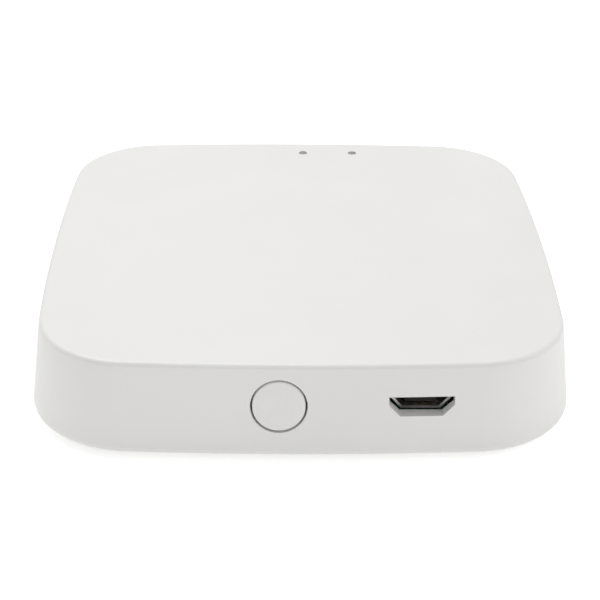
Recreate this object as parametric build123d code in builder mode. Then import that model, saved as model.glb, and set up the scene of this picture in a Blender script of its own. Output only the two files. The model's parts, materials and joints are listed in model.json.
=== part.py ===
from build123d import *

import os
from math import radians, tan

# Smart home hub: a low, white, rounded-square gateway that bridges a Wi-Fi network and a mesh radio network.
#
# All sizes are in millimetres. X points right and Y points back, seen by someone who faces the hub's button
# and power socket. Z points up. The origin is the middle of the footprint, on the surface that the feet stand
# on. Each sub-part is written to its own STEP file, whose name is the name of the sub-part.

os.makedirs("parts", exist_ok=True)

# --- Common allowances ----------------------------------------------------------------------------------
THROUGH = 5.0  # length of a cut that has to pass right through a wall
JOIN = 0.3  # how far a boss or rib runs into the wall that it grows from
SEATING = 0.02  # room between a part and the board that it rests on

# --- Casing ---------------------------------------------------------------------------------------------
FOOT_PROUD = 0.8  # how far the feet stand out below the base
CASE_BOTTOM = FOOT_PROUD
CASE_TOP = 12.4
BASE_HALF_WIDTH = 33.5  # from the middle to a side wall, at the bottom of the casing
WALL_DRAFT = 7.2  # degrees that the walls lean in as they rise
SIDE_BOW = 1.4  # how far the middle of a side stands out beyond its ends, at the bottom
BASE_CORNER_RADIUS = 12.9
TOP_EDGE_RADIUS = 0.6
BASE_EDGE_RADIUS = 0.9
WALL = 1.5
ROOF = 1.5
INNER_TOP = CASE_TOP - ROOF
BASE_UNDERSIDE = CASE_BOTTOM + 0.15  # the base fits inside the walls, a little above their lower rim
PLATE_TOP = 2.4  # inside face of the base plate
LIP_TOP = 3.6
LIP_THICKNESS = 1.0
LIP_CLEARANCE = 0.15

# --- Fasteners and feet ---------------------------------------------------------------------------------
CORNER_SPOTS = [(x, y) for y in (-23.5, 23.5) for x in (-23.5, 23.5)]  # case screws, with a foot below each
CORNER_NAMES = ["front_left", "front_right", "rear_left", "rear_right"]
BOSS_RADIUS = 2.5
SEAT_TOP = 4.2  # where a cover boss stands on its screw seat in the base
SEAT_RADIUS = 3.3
FOOT_RADIUS = 4.0
FOOT_RECESS = 0.4
FOOT_CLEARANCE, HEAD_CLEARANCE, SHANK_CLEARANCE = 0.1, 0.25, 0.2  # on the radius, in the base
SCREW_HEAD_SEAT = 2.75
CASE_SCREW = {"radius": 1.1, "length": 6.0, "head_radius": 2.0, "head_height": 1.3}
BOARD_SCREW = {"radius": 0.95, "length": 4.0, "head_radius": 1.75, "head_height": 1.1}
SCREW_CLEARANCE = 0.02  # between a screw and the thread that it has formed
HOLE_SHORTFALL = 0.6  # a boss's hole is this much shorter than its screw
CORNER_RIB = {"bottom": 7.4, "length": 5.6, "width": 1.0, "spread": 1.13}  # spread: its place over its boss's
ROOF_RIB_DEPTH, ROOF_RIB_WIDTH = 0.9, 0.9

# --- Main board -----------------------------------------------------------------------------------------
BOARD_TOP = CASE_TOP - 6.55
BOARD_THICKNESS = 1.0
BOARD_BOTTOM = BOARD_TOP - BOARD_THICKNESS
BOARD_INSET = 3.0  # from the casing's outer face to the board's edge
BOARD_SCREW_SPOTS = [(-22.0, -13.0), (21.0, 15.6), (-3.5, 17.5)]
BOARD_REST_SPOTS = [(6.0, -24.5), (-9.5, -24.5), (22.5, -10.0)]  # posts under the board
BOARD_REST_GAP = 0.05
BOARD_BOSS_RADIUS = 2.2
NOTCH_RADIUS = 3.3  # room in the board round each corner boss

# --- Pairing button, on a horizontal axis through the front wall ------------------------------------------
BUTTON_X, BUTTON_Z = -2.77, CASE_TOP - 5.1
BUTTON_HOLE_RADIUS = 3.32
BUTTON_RADIUS = 3.08
PAD_WIDTH, PAD_BOTTOM, PAD_TOP = 11.0, 3.8, 11.2
PAD_Y = -30.6  # flat seat that the cap's ears rest against, inside the wall
PAD_THICKNESS = 1.15
EAR_GAP = 0.05
EAR_THICKNESS = 0.75
EAR_SPAN = 9.4
EAR_HEIGHT = 2.2
STEM_RADIUS = 1.2

# --- Push switch ----------------------------------------------------------------------------------------
SWITCH_WIDTH, SWITCH_HEIGHT = 6.0, 3.1
SWITCH_FRONT, SWITCH_BACK = -27.2, -23.8
SWITCH_SHEET = 0.3
SWITCH_FLOOR = BOARD_TOP + 0.05
PLUNGER_TIP = SWITCH_FRONT - 0.95
PLUNGER_END = -26.0
DOME_RIM = -25.5
STEM_END = PLUNGER_TIP - 0.03

# --- Power socket ---------------------------------------------------------------------------------------
SOCKET_X = 13.7
SOCKET_FRONT = -30.65
SOCKET_DEPTH = 5.4
SOCKET_BACK = SOCKET_FRONT + SOCKET_DEPTH
SHELL_SHEET = 0.3
MOUTH_TOP, MOUTH_SHOULDER, MOUTH_BOTTOM = CASE_TOP - 3.98, CASE_TOP - 5.03, CASE_TOP - 6.4
MOUTH_HALF_TOP, MOUTH_HALF_BOTTOM = 3.8, 2.48
POCKET_Y = -31.15  # the wall is thinned from inside to here round the socket

# --- Indicators -----------------------------------------------------------------------------------------
LED_SPOTS = {"power_led": (0.95, 28.4), "network_led": (8.2, 28.4)}
LED_HOLE_RADIUS = 0.62
LIGHT_POST_RADIUS = 0.58
LIGHT_POST_TIP = CASE_TOP - 0.12
LED_LENGTH, LED_WIDTH, LED_LENS = 1.6, 0.8, 1.0
LED_HEIGHT, LED_BASE = 0.75, 0.3
LED_PITCH_CENTRE = (4.575, 28.4)
BRIDGE_TOP = INNER_TOP - 0.2
BRIDGE_BOTTOM = BRIDGE_TOP - 1.0
STAKE_RADIUS = 0.7
STAKE_HEAD, STAKE_GAP = 0.45, 0.05  # height of the formed head, and its distance below the guide


def half_width(z):
    """Distance from the middle to a side wall's outer face, at height z."""
    return BASE_HALF_WIDTH - (z - CASE_BOTTOM) * tan(radians(WALL_DRAFT))


def case_plan(z, inset=0.0):
    """Outline of the casing at height z, moved inward by inset: bowed sides and round corners."""
    half = half_width(z) - inset
    corner = half - SIDE_BOW * (half / BASE_HALF_WIDTH) ** 2
    with BuildSketch() as plan:
        with BuildLine():
            ThreePointArc((-corner, -corner), (0, -half), (corner, -corner))
            ThreePointArc((corner, -corner), (half, 0), (corner, corner))
            ThreePointArc((corner, corner), (0, half), (-corner, corner))
            ThreePointArc((-corner, corner), (-half, 0), (-corner, -corner))
        make_face()
        fillet(plan.vertices(), BASE_CORNER_RADIUS - (BASE_HALF_WIDTH - half))
    return plan.sketch


def case_block(bottom, top, inset=0.0):
    """Solid that fills the casing between two heights, its leaning sides moved inward by inset."""
    with BuildPart() as block:
        for z in (bottom, top):
            with BuildSketch(Plane.XY.offset(z)):
                add(case_plan(z, inset))
        loft(ruled=True)
    return block.part


def facing_front(x, y, z):
    """Sketch plane at (x, y, z) that faces the hub's front: its X is the hub's X and its Y is the hub's Z."""
    return Plane(origin=(x, y, z), x_dir=(1, 0, 0), z_dir=(0, -1, 0))


def socket_profile(half_top, half_bottom, top, shoulder, bottom):
    """Five-cornered mouth of the power socket, wide at the top, on the plane y = 0 facing front."""
    with BuildSketch() as mouth:
        with BuildLine():
            Polyline(
                (-half_top, top),
                (half_top, top),
                (half_top, shoulder),
                (half_bottom, bottom),
                (-half_bottom, bottom),
                (-half_top, shoulder),
                close=True,
            )
        make_face()
    return mouth.sketch


def screw(radius, length, head_radius, head_height):
    """Pan-head self-tapping screw, pointing up from the underside of its head on z = 0."""
    pitch = 0.8
    depth = 0.22
    start = 0.4
    turns = int((length - 1.0) / pitch)
    with BuildPart() as made:
        with BuildSketch(Plane.XZ):
            with BuildLine():
                outline = [(0, -head_height), (head_radius * 0.72, -head_height)]
                outline += [(head_radius, -head_height * 0.45), (head_radius, 0), (radius - depth, 0)]
                for turn in range(turns):
                    z = start + turn * pitch
                    outline += [(radius - depth, z), (radius, z + pitch * 0.4)]
                    outline += [(radius - depth, z + pitch * 0.8)]
                outline += [(radius - depth, length - 0.8), (0, length)]
                Polyline(*outline, close=True)
            make_face()
        revolve(axis=Axis.Z)
        with BuildSketch(Plane.XY.offset(-head_height)):
            Rectangle(head_radius * 1.1, head_radius * 0.28)
            Rectangle(head_radius * 0.28, head_radius * 1.1)
        extrude(amount=head_height * 0.6, taper=12, mode=Mode.SUBTRACT)
    return made.part


# === Upper cover: the roof and the four walls in one moulding ==============================================
BUTTON_PLANE = facing_front(BUTTON_X, PAD_Y, BUTTON_Z)
RAIL_LENGTH, RAIL_THICKNESS, RAIL_REACH = 1.3, 0.8, 1.3
RAIL_X, RAIL_CLEARANCE = 4.0, 0.12
RAIL_Z = EAR_HEIGHT / 2 + RAIL_CLEARANCE + RAIL_THICKNESS / 2  # from the button's axis to a rail's middle
SOCKET_POCKET = (8.6, 3.6)  # width and height of the thinned wall round the power socket

with BuildPart() as upper_cover:
    add(case_block(CASE_BOTTOM, CASE_TOP))
    fillet(upper_cover.faces().sort_by(Axis.Z)[-1].edges(), TOP_EDGE_RADIUS)
    fillet(upper_cover.faces().sort_by(Axis.Z)[0].edges(), BASE_EDGE_RADIUS)
    add(case_block(CASE_BOTTOM - 1, INNER_TOP, WALL), mode=Mode.SUBTRACT)

    # corner bosses for the case screws, each held to the walls by two ribs, and shorter bosses for the board
    with BuildSketch(Plane.XY.offset(SEAT_TOP)):
        with Locations(*CORNER_SPOTS):
            Circle(BOSS_RADIUS)
    extrude(amount=INNER_TOP + JOIN - SEAT_TOP)
    with BuildSketch(Plane.XY.offset(CORNER_RIB["bottom"])):
        for x, y in CORNER_SPOTS:
            with Locations((x * CORNER_RIB["spread"], y)):
                Rectangle(CORNER_RIB["length"], CORNER_RIB["width"])
            with Locations((x, y * CORNER_RIB["spread"])):
                Rectangle(CORNER_RIB["width"], CORNER_RIB["length"])
    extrude(amount=INNER_TOP + JOIN - CORNER_RIB["bottom"])
    with BuildSketch(Plane.XY.offset(BOARD_TOP)):
        with Locations(*BOARD_SCREW_SPOTS):
            Circle(BOARD_BOSS_RADIUS)
    extrude(amount=INNER_TOP + JOIN - BOARD_TOP)
    for spots, floor, size in (
        (CORNER_SPOTS, SEAT_TOP, CASE_SCREW),
        (BOARD_SCREW_SPOTS, BOARD_TOP, BOARD_SCREW),
    ):
        with BuildSketch(Plane.XY.offset(floor)):
            with Locations(*spots):
                Circle(size["radius"] + SCREW_CLEARANCE)
        extrude(amount=size["length"] - HOLE_SHORTFALL, mode=Mode.SUBTRACT)

    # stiffening ribs under the roof
    with BuildSketch(Plane.XY.offset(INNER_TOP - ROOF_RIB_DEPTH)):
        with Locations((0, -8), (0, 6)):
            Rectangle(36, ROOF_RIB_WIDTH)
        with Locations((-12, -1), (12, -1)):
            Rectangle(ROOF_RIB_WIDTH, 24)
    extrude(amount=ROOF_RIB_DEPTH + JOIN)

    # seat, guide rails and hole for the button cap
    with BuildSketch(BUTTON_PLANE):
        with Locations((0, (PAD_TOP + PAD_BOTTOM) / 2 - BUTTON_Z)):
            Rectangle(PAD_WIDTH, PAD_TOP - PAD_BOTTOM)
    extrude(amount=PAD_THICKNESS)
    with BuildSketch(BUTTON_PLANE.offset(JOIN)):
        with Locations(*[(x, z) for x in (-RAIL_X, RAIL_X) for z in (-RAIL_Z, RAIL_Z)]):
            Rectangle(RAIL_LENGTH, RAIL_THICKNESS)
    extrude(amount=-RAIL_REACH - JOIN)
    with BuildSketch(BUTTON_PLANE.offset(-JOIN)):
        Circle(BUTTON_HOLE_RADIUS)
    extrude(amount=THROUGH, mode=Mode.SUBTRACT)

    # pocket for the front of the power socket, and the mouth for the plug
    with BuildSketch(facing_front(SOCKET_X, POCKET_Y, 0)):
        with Locations((0, (MOUTH_TOP + MOUTH_BOTTOM) / 2 - 0.1)):
            Rectangle(*SOCKET_POCKET)
    extrude(amount=-THROUGH, mode=Mode.SUBTRACT)
    with BuildSketch(facing_front(SOCKET_X, POCKET_Y + 1, 0)):
        add(socket_profile(MOUTH_HALF_TOP, MOUTH_HALF_BOTTOM, MOUTH_TOP, MOUTH_SHOULDER, MOUTH_BOTTOM))
    extrude(amount=THROUGH, mode=Mode.SUBTRACT)

    # indicator holes, and a peg with a heat-formed head that holds the light guide up
    with BuildSketch(Plane.XY.offset(INNER_TOP - 1)):
        with Locations(*LED_SPOTS.values()):
            Circle(LED_HOLE_RADIUS)
    extrude(amount=THROUGH, mode=Mode.SUBTRACT)
    with BuildSketch(Plane.XY.offset(BRIDGE_BOTTOM - STAKE_GAP - STAKE_HEAD / 2)):
        with Locations(LED_PITCH_CENTRE):
            Circle(STAKE_RADIUS)
    extrude(amount=INNER_TOP + JOIN - (BRIDGE_BOTTOM - STAKE_GAP - STAKE_HEAD / 2))
    with BuildSketch(Plane.XY.offset(BRIDGE_BOTTOM - STAKE_GAP - STAKE_HEAD)):
        with Locations(LED_PITCH_CENTRE):
            Circle(STAKE_RADIUS * 1.6)
    extrude(amount=STAKE_HEAD)
upper_cover.part.label = "upper_cover"
export_step(upper_cover.part, "parts/upper_cover.step")


# === Base cover: the floor, with a lip inside the walls and a seat below each cover boss ===================
VENT_ROWS, VENT_PITCH, VENT_LENGTH, VENT_WIDTH = 7, 3.0, 14.0, 1.2
VENT_SPOT = (0, -13.0)
LABEL_SPOT, LABEL_SIZE, LABEL_THICKNESS = (0, 9.0), (34.0, 20.0), 0.1
LABEL_CLEARANCE = 0.2
BOARD_REST_RADIUS = 1.6

with BuildPart() as base_cover:
    add(case_block(BASE_UNDERSIDE, LIP_TOP, WALL + LIP_CLEARANCE))
    fillet(base_cover.faces().sort_by(Axis.Z)[0].edges(), 0.2)
    add(case_block(PLATE_TOP, LIP_TOP + 1, WALL + LIP_CLEARANCE + LIP_THICKNESS), mode=Mode.SUBTRACT)
    with BuildSketch(Plane.XY.offset(PLATE_TOP - JOIN)):
        with Locations(*CORNER_SPOTS):
            Circle(SEAT_RADIUS)
    extrude(amount=SEAT_TOP - PLATE_TOP + JOIN)
    with BuildSketch(Plane.XY.offset(PLATE_TOP - JOIN)):
        with Locations(*BOARD_REST_SPOTS):
            Circle(BOARD_REST_RADIUS)
    extrude(amount=BOARD_BOTTOM - BOARD_REST_GAP - PLATE_TOP + JOIN)

    # recess for each foot, then room for the screw's head, then a clear hole for its shank
    for floor, ceiling, radius in (
        (CASE_BOTTOM, BASE_UNDERSIDE + FOOT_RECESS, FOOT_RADIUS + FOOT_CLEARANCE),
        (CASE_BOTTOM, SCREW_HEAD_SEAT, CASE_SCREW["head_radius"] + HEAD_CLEARANCE),
        (CASE_BOTTOM, SEAT_TOP + 1, CASE_SCREW["radius"] + SHANK_CLEARANCE),
    ):
        with BuildSketch(Plane.XY.offset(floor)):
            with Locations(*CORNER_SPOTS):
                Circle(radius)
        extrude(amount=ceiling - floor, mode=Mode.SUBTRACT)

    # vent slots, and a shallow recess for the label
    with BuildSketch(Plane.XY.offset(CASE_BOTTOM)):
        with Locations(VENT_SPOT):
            with GridLocations(0, VENT_PITCH, 1, VENT_ROWS):
                SlotOverall(VENT_LENGTH, VENT_WIDTH)
    extrude(amount=THROUGH, mode=Mode.SUBTRACT)
    with BuildSketch(Plane.XY.offset(BASE_UNDERSIDE)):
        with Locations(LABEL_SPOT):
            RectangleRounded(LABEL_SIZE[0] + 2 * LABEL_CLEARANCE, LABEL_SIZE[1] + 2 * LABEL_CLEARANCE, 1.2)
    extrude(amount=LABEL_THICKNESS + 0.05, mode=Mode.SUBTRACT)
base_cover.part.label = "base_cover"
export_step(base_cover.part, "parts/base_cover.step")


# === Rubber feet, label and case screws ===================================================================
for (foot_x, foot_y), corner_name in zip(CORNER_SPOTS, CORNER_NAMES):
    with BuildPart() as rubber_foot:
        with BuildSketch():
            with Locations((foot_x, foot_y)):
                Circle(FOOT_RADIUS)
        extrude(amount=BASE_UNDERSIDE + FOOT_RECESS)
        fillet(rubber_foot.faces().sort_by(Axis.Z)[0].edges(), 0.35)
    rubber_foot.part.label = f"rubber_foot_{corner_name}"
    export_step(rubber_foot.part, f"parts/rubber_foot_{corner_name}.step")

with BuildPart() as rating_label:
    with BuildSketch(Plane.XY.offset(BASE_UNDERSIDE + SEATING)):
        with Locations(LABEL_SPOT):
            RectangleRounded(LABEL_SIZE[0], LABEL_SIZE[1], 1.0)
    extrude(amount=LABEL_THICKNESS)
rating_label.part.label = "rating_label"
export_step(rating_label.part, "parts/rating_label.step")

case_screw = screw(**CASE_SCREW)
with BuildPart() as case_screws:
    with Locations(*[(x, y, SCREW_HEAD_SEAT) for x, y in CORNER_SPOTS]):
        add(case_screw)
case_screws.part.label = "case_screws"
export_step(case_screws.part, "parts/case_screws.step")

board_screw = screw(**BOARD_SCREW)
with BuildPart() as board_screws:
    with Locations(*[(x, y, BOARD_BOTTOM) for x, y in BOARD_SCREW_SPOTS]):
        add(board_screw)
board_screws.part.label = "board_screws"
export_step(board_screws.part, "parts/board_screws.step")


# === Main board ===========================================================================================
SHELL_LEGS = [(SOCKET_X + x, y) for x in (-3.45, 3.45) for y in (-28.6, -26.6)]
COVER_LEGS = [(BUTTON_X + x, -25.9) for x in (-2.85, 2.85)]
LEG_WIDTH = 1.0
LEG_SLOT = (0.6, LEG_WIDTH + 0.3)  # slot in the board for a leg of the socket's shell or the switch's cover
CORNER_CUT = {"length": 12, "spread": 1.18}  # opens each corner notch to the board's outer corner
BUTTON_NOTCH_Y, BUTTON_NOTCH = -30.3, (PAD_WIDTH + 1.4, 3.2)  # room in the board's front edge for the button

with BuildPart() as main_board:
    with BuildSketch(Plane.XY.offset(BOARD_BOTTOM)):
        add(case_plan(BOARD_BOTTOM, BOARD_INSET))
        for x, y in CORNER_SPOTS:
            with Locations((x, y)):
                Circle(NOTCH_RADIUS, mode=Mode.SUBTRACT)
            with Locations((x * CORNER_CUT["spread"], y * CORNER_CUT["spread"])):
                turn = 45 if x * y > 0 else -45
                Rectangle(CORNER_CUT["length"], 2 * NOTCH_RADIUS, rotation=turn, mode=Mode.SUBTRACT)
        with Locations(*BOARD_SCREW_SPOTS):
            Circle(BOARD_SCREW["radius"] + SHANK_CLEARANCE, mode=Mode.SUBTRACT)
        with Locations(*SHELL_LEGS, *COVER_LEGS):
            Rectangle(*LEG_SLOT, mode=Mode.SUBTRACT)
        with Locations((BUTTON_X, BUTTON_NOTCH_Y)):
            Rectangle(*BUTTON_NOTCH, mode=Mode.SUBTRACT)
    extrude(amount=BOARD_THICKNESS)
main_board.part.label = "main_board"
export_step(main_board.part, "parts/main_board.step")


# === Pairing button =======================================================================================
with BuildPart() as button_cap:
    # the cap follows the leaning wall, so its face is cut flush with the wall's outer face
    with BuildSketch(BUTTON_PLANE):
        Circle(BUTTON_RADIUS)
    extrude(amount=4)
    add(case_block(BUTTON_Z - 5, BUTTON_Z + 5), mode=Mode.INTERSECT)
    fillet(button_cap.faces().sort_by(Axis.Y)[0].edges(), 0.15)
    with BuildSketch(BUTTON_PLANE.offset(-EAR_GAP)):
        Rectangle(EAR_SPAN, EAR_HEIGHT)
        Circle(BUTTON_RADIUS)
    extrude(amount=-EAR_THICKNESS)
    with BuildSketch(BUTTON_PLANE.offset(0.1)):
        Circle(BUTTON_RADIUS)
    extrude(amount=-0.3)
    with BuildSketch(BUTTON_PLANE.offset(-EAR_GAP - EAR_THICKNESS + 0.1)):
        Circle(STEM_RADIUS)
    extrude(amount=-(STEM_END - PAD_Y - EAR_GAP - EAR_THICKNESS + 0.1))
button_cap.part.label = "button_cap"
export_step(button_cap.part, "parts/button_cap.step")


# === Push switch ==========================================================================================
SWITCH_TOP = SWITCH_FLOOR + SWITCH_HEIGHT
SWITCH_INNER_FRONT = SWITCH_FRONT + SWITCH_SHEET + 0.03
PLUNGER_RADIUS, PLUNGER_FLANGE_RADIUS, DOME_RADIUS = 0.8, 1.15, 1.22

with BuildPart() as switch_base:
    with BuildSketch(facing_front(BUTTON_X, SWITCH_BACK, SWITCH_FLOOR)):
        with Locations((0, (SWITCH_HEIGHT - SWITCH_SHEET) / 2)):
            Rectangle(SWITCH_WIDTH - 2 * SWITCH_SHEET - 0.1, SWITCH_HEIGHT - SWITCH_SHEET - 0.05)
    extrude(amount=SWITCH_BACK - SWITCH_INNER_FRONT)
    with BuildSketch(facing_front(BUTTON_X, DOME_RIM, BUTTON_Z)):
        Circle(DOME_RADIUS + 0.08)
    extrude(amount=3, mode=Mode.SUBTRACT)
switch_base.part.label = "switch_base"
export_step(switch_base.part, "parts/switch_base.step")

with BuildPart() as switch_cover:
    # a bent sheet: front plate, top plate, and a leg at each side that goes through the board
    with BuildSketch(facing_front(BUTTON_X, SWITCH_FRONT + SWITCH_SHEET, SWITCH_FLOOR)):
        with Locations((0, SWITCH_HEIGHT / 2)):
            RectangleRounded(SWITCH_WIDTH, SWITCH_HEIGHT, 0.25)
    extrude(amount=SWITCH_SHEET)
    with BuildSketch(Plane.XY.offset(SWITCH_TOP - SWITCH_SHEET)):
        with Locations((BUTTON_X, (SWITCH_FRONT + SWITCH_BACK) / 2 - 0.2)):
            Rectangle(SWITCH_WIDTH, SWITCH_BACK - SWITCH_FRONT - 0.4)
    extrude(amount=SWITCH_SHEET)
    for x, y in COVER_LEGS:
        with BuildSketch(Plane.XY.offset(SWITCH_TOP - SWITCH_SHEET)):
            with Locations((x, y)):
                Rectangle(SWITCH_SHEET, LEG_WIDTH)
        extrude(amount=-(SWITCH_TOP - SWITCH_SHEET - BOARD_BOTTOM - 0.1))
    with BuildSketch(facing_front(BUTTON_X, SWITCH_FRONT + 1, BUTTON_Z)):
        Circle(PLUNGER_RADIUS + 0.06)
    extrude(amount=2, mode=Mode.SUBTRACT)
switch_cover.part.label = "switch_cover"
export_step(switch_cover.part, "parts/switch_cover.step")

with BuildPart() as switch_plunger:
    with BuildSketch(facing_front(BUTTON_X, PLUNGER_END, BUTTON_Z)):
        Circle(PLUNGER_RADIUS)
    extrude(amount=PLUNGER_END - PLUNGER_TIP)
    fillet(switch_plunger.faces().sort_by(Axis.Y)[0].edges(), 0.12)
    with BuildSketch(facing_front(BUTTON_X, -26.3, BUTTON_Z)):
        Circle(PLUNGER_FLANGE_RADIUS)
    extrude(amount=0.5)
switch_plunger.part.label = "switch_plunger"
export_step(switch_plunger.part, "parts/switch_plunger.step")

with BuildPart() as switch_dome:
    # thin steel disc, bulged towards the plunger
    with BuildSketch(Plane.XY.offset(BUTTON_Z)):
        with BuildLine():
            ThreePointArc(
                (BUTTON_X - DOME_RADIUS, DOME_RIM - 0.03),
                (BUTTON_X, PLUNGER_END + 0.02),
                (BUTTON_X + DOME_RADIUS, DOME_RIM - 0.03),
            )
            Line((BUTTON_X + DOME_RADIUS, DOME_RIM - 0.03), (BUTTON_X + DOME_RADIUS - 0.09, DOME_RIM - 0.03))
            ThreePointArc(
                (BUTTON_X + DOME_RADIUS - 0.09, DOME_RIM - 0.03),
                (BUTTON_X, PLUNGER_END + 0.1),
                (BUTTON_X - DOME_RADIUS + 0.09, DOME_RIM - 0.03),
            )
            Line((BUTTON_X - DOME_RADIUS + 0.09, DOME_RIM - 0.03), (BUTTON_X - DOME_RADIUS, DOME_RIM - 0.03))
        make_face()
        with Locations((BUTTON_X - 2, DOME_RIM)):
            Rectangle(4, 4, mode=Mode.SUBTRACT)
    revolve(axis=Axis((BUTTON_X, 0, BUTTON_Z), (0, 1, 0)))
switch_dome.part.label = "switch_dome"
export_step(switch_dome.part, "parts/switch_dome.step")

TERMINAL_X, TERMINAL_WIDTH, TERMINAL_SHEET = 1.9, 0.7, 0.15
TERMINAL_FOOT, TERMINAL_HEIGHT = 1.2, 0.8

with BuildPart() as switch_terminals:
    # two bent strips: each rises along the switch's back, and its foot is soldered to the board
    for x in (-TERMINAL_X, TERMINAL_X):
        with BuildSketch(Plane.XY.offset(BOARD_TOP + SEATING)):
            with Locations((BUTTON_X + x, SWITCH_BACK + 0.15 + TERMINAL_FOOT / 2)):
                Rectangle(TERMINAL_WIDTH, TERMINAL_FOOT)
        extrude(amount=TERMINAL_SHEET)
        with BuildSketch(Plane.XY.offset(BOARD_TOP + SEATING)):
            with Locations((BUTTON_X + x, SWITCH_BACK + 0.1)):
                Rectangle(TERMINAL_WIDTH, TERMINAL_SHEET)
        extrude(amount=TERMINAL_HEIGHT)
switch_terminals.part.label = "switch_terminals"
export_step(switch_terminals.part, "parts/switch_terminals.step")


# === Power socket =========================================================================================
SHELL_TOP, SHELL_SHOULDER, SHELL_BOTTOM = MOUTH_TOP - 0.08, MOUTH_SHOULDER + 0.1, BOARD_TOP + SEATING
SHELL_HALF_TOP, SHELL_HALF_BOTTOM = 3.6, 2.3
LEG_TOP = SHELL_SHOULDER + 0.2
TONGUE_BOTTOM, TONGUE_HEIGHT, TONGUE_WIDTH = SHELL_BOTTOM + 0.72, 0.65, 3.6
TONGUE_FRONT = SOCKET_FRONT + 0.4
PLUG_FRONT = SOCKET_BACK - 1.3  # front of the block that fills the back of the sleeve
CONTACT_WIDTH, CONTACT_PITCH, TAIL_LENGTH, TAIL_THICKNESS = 0.35, 0.65, 0.9, 0.15

with BuildPart() as usb_shell:
    # folded steel sleeve, open at both ends
    with BuildSketch(facing_front(SOCKET_X, SOCKET_BACK, 0)):
        add(socket_profile(SHELL_HALF_TOP, SHELL_HALF_BOTTOM, SHELL_TOP, SHELL_SHOULDER, SHELL_BOTTOM))
        offset(amount=-SHELL_SHEET, mode=Mode.SUBTRACT)
    extrude(amount=SOCKET_BACK - SOCKET_FRONT)
    for x, y in SHELL_LEGS:
        with BuildSketch(Plane.XY.offset(LEG_TOP)):
            with Locations((x, y)):
                Rectangle(SHELL_SHEET, LEG_WIDTH)
        extrude(amount=-(LEG_TOP - BOARD_BOTTOM - 0.1))
usb_shell.part.label = "usb_shell"
export_step(usb_shell.part, "parts/usb_shell.step")

with BuildPart() as usb_tongue:
    # black insulator: a plug that fills the back of the sleeve, and the tongue that carries the contacts
    with BuildSketch(facing_front(SOCKET_X, SOCKET_BACK + 0.1, 0)):
        add(socket_profile(SHELL_HALF_TOP, SHELL_HALF_BOTTOM, SHELL_TOP, SHELL_SHOULDER, SHELL_BOTTOM))
        offset(amount=-SHELL_SHEET - 0.03, mode=Mode.REPLACE)
    extrude(amount=SOCKET_BACK + 0.1 - PLUG_FRONT)
    with BuildSketch(facing_front(SOCKET_X, PLUG_FRONT + JOIN, TONGUE_BOTTOM)):
        with Locations((0, TONGUE_HEIGHT / 2)):
            Rectangle(TONGUE_WIDTH, TONGUE_HEIGHT)
    extrude(amount=PLUG_FRONT + JOIN - TONGUE_FRONT)
usb_tongue.part.label = "usb_tongue"
export_step(usb_tongue.part, "parts/usb_tongue.step")

with BuildPart() as usb_contacts:
    # five contacts: a strip under the tongue, and a tail behind the socket that is soldered to the board
    for index in range(-2, 3):
        contact_x = SOCKET_X + CONTACT_PITCH * index
        contact_front, contact_end = TONGUE_FRONT + 0.3, PLUG_FRONT - 0.05
        with BuildSketch(Plane.XY.offset(TONGUE_BOTTOM - 0.12)):
            with Locations((contact_x, (contact_front + contact_end) / 2)):
                Rectangle(CONTACT_WIDTH, contact_end - contact_front)
        extrude(amount=0.1)
        with BuildSketch(Plane.XY.offset(BOARD_TOP + SEATING)):
            with Locations((contact_x, SOCKET_BACK + 0.17 + TAIL_LENGTH / 2)):
                Rectangle(CONTACT_WIDTH, TAIL_LENGTH)
        extrude(amount=TAIL_THICKNESS)
usb_contacts.part.label = "usb_contacts"
export_step(usb_contacts.part, "parts/usb_contacts.step")


# === Indicators: a lamp below each hole, a clear guide, and foam that keeps their light apart ===============
FOAM_TOP = 9.0
FOAM_SIZE = (11.5, 3.8)
WELL_RADIUS = 1.4
GUIDE_SIZE = (10.0, 2.6)
GUIDE_FOOT_RADIUS, GUIDE_FOOT_GAP = 1.05, 0.25  # the guide's feet hang over the lamps without touching them
for led_name, (led_x, led_y) in LED_SPOTS.items():
    with BuildPart() as status_led:
        with BuildSketch(Plane.XY.offset(BOARD_TOP + SEATING)):
            with Locations((led_x, led_y)):
                Rectangle(LED_LENGTH, LED_WIDTH)
        extrude(amount=LED_BASE)
        with BuildSketch(Plane.XY.offset(BOARD_TOP + LED_BASE)):
            with Locations((led_x, led_y)):
                Rectangle(LED_LENS, LED_WIDTH)
        extrude(amount=LED_HEIGHT - LED_BASE, taper=8)
    status_led.part.label = led_name
    export_step(status_led.part, f"parts/{led_name}.step")

with BuildPart() as light_guide:
    with BuildSketch(Plane.XY.offset(BRIDGE_BOTTOM)):
        with Locations(LED_PITCH_CENTRE):
            SlotOverall(*GUIDE_SIZE)
            Circle(STAKE_RADIUS + STAKE_GAP, mode=Mode.SUBTRACT)
    extrude(amount=BRIDGE_TOP - BRIDGE_BOTTOM)
    with BuildSketch(Plane.XY.offset(BRIDGE_TOP)):
        with Locations(*LED_SPOTS.values()):
            Circle(LIGHT_POST_RADIUS)
    extrude(amount=LIGHT_POST_TIP - BRIDGE_TOP)
    fillet(light_guide.faces().filter_by(Axis.Z).group_by(Axis.Z)[-1].edges(), 0.15)
    with BuildSketch(Plane.XY.offset(BRIDGE_BOTTOM)):
        with Locations(*LED_SPOTS.values()):
            Circle(GUIDE_FOOT_RADIUS)
    extrude(amount=-(BRIDGE_BOTTOM - BOARD_TOP - LED_HEIGHT - GUIDE_FOOT_GAP), taper=3)
light_guide.part.label = "light_guide"
export_step(light_guide.part, "parts/light_guide.step")

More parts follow.
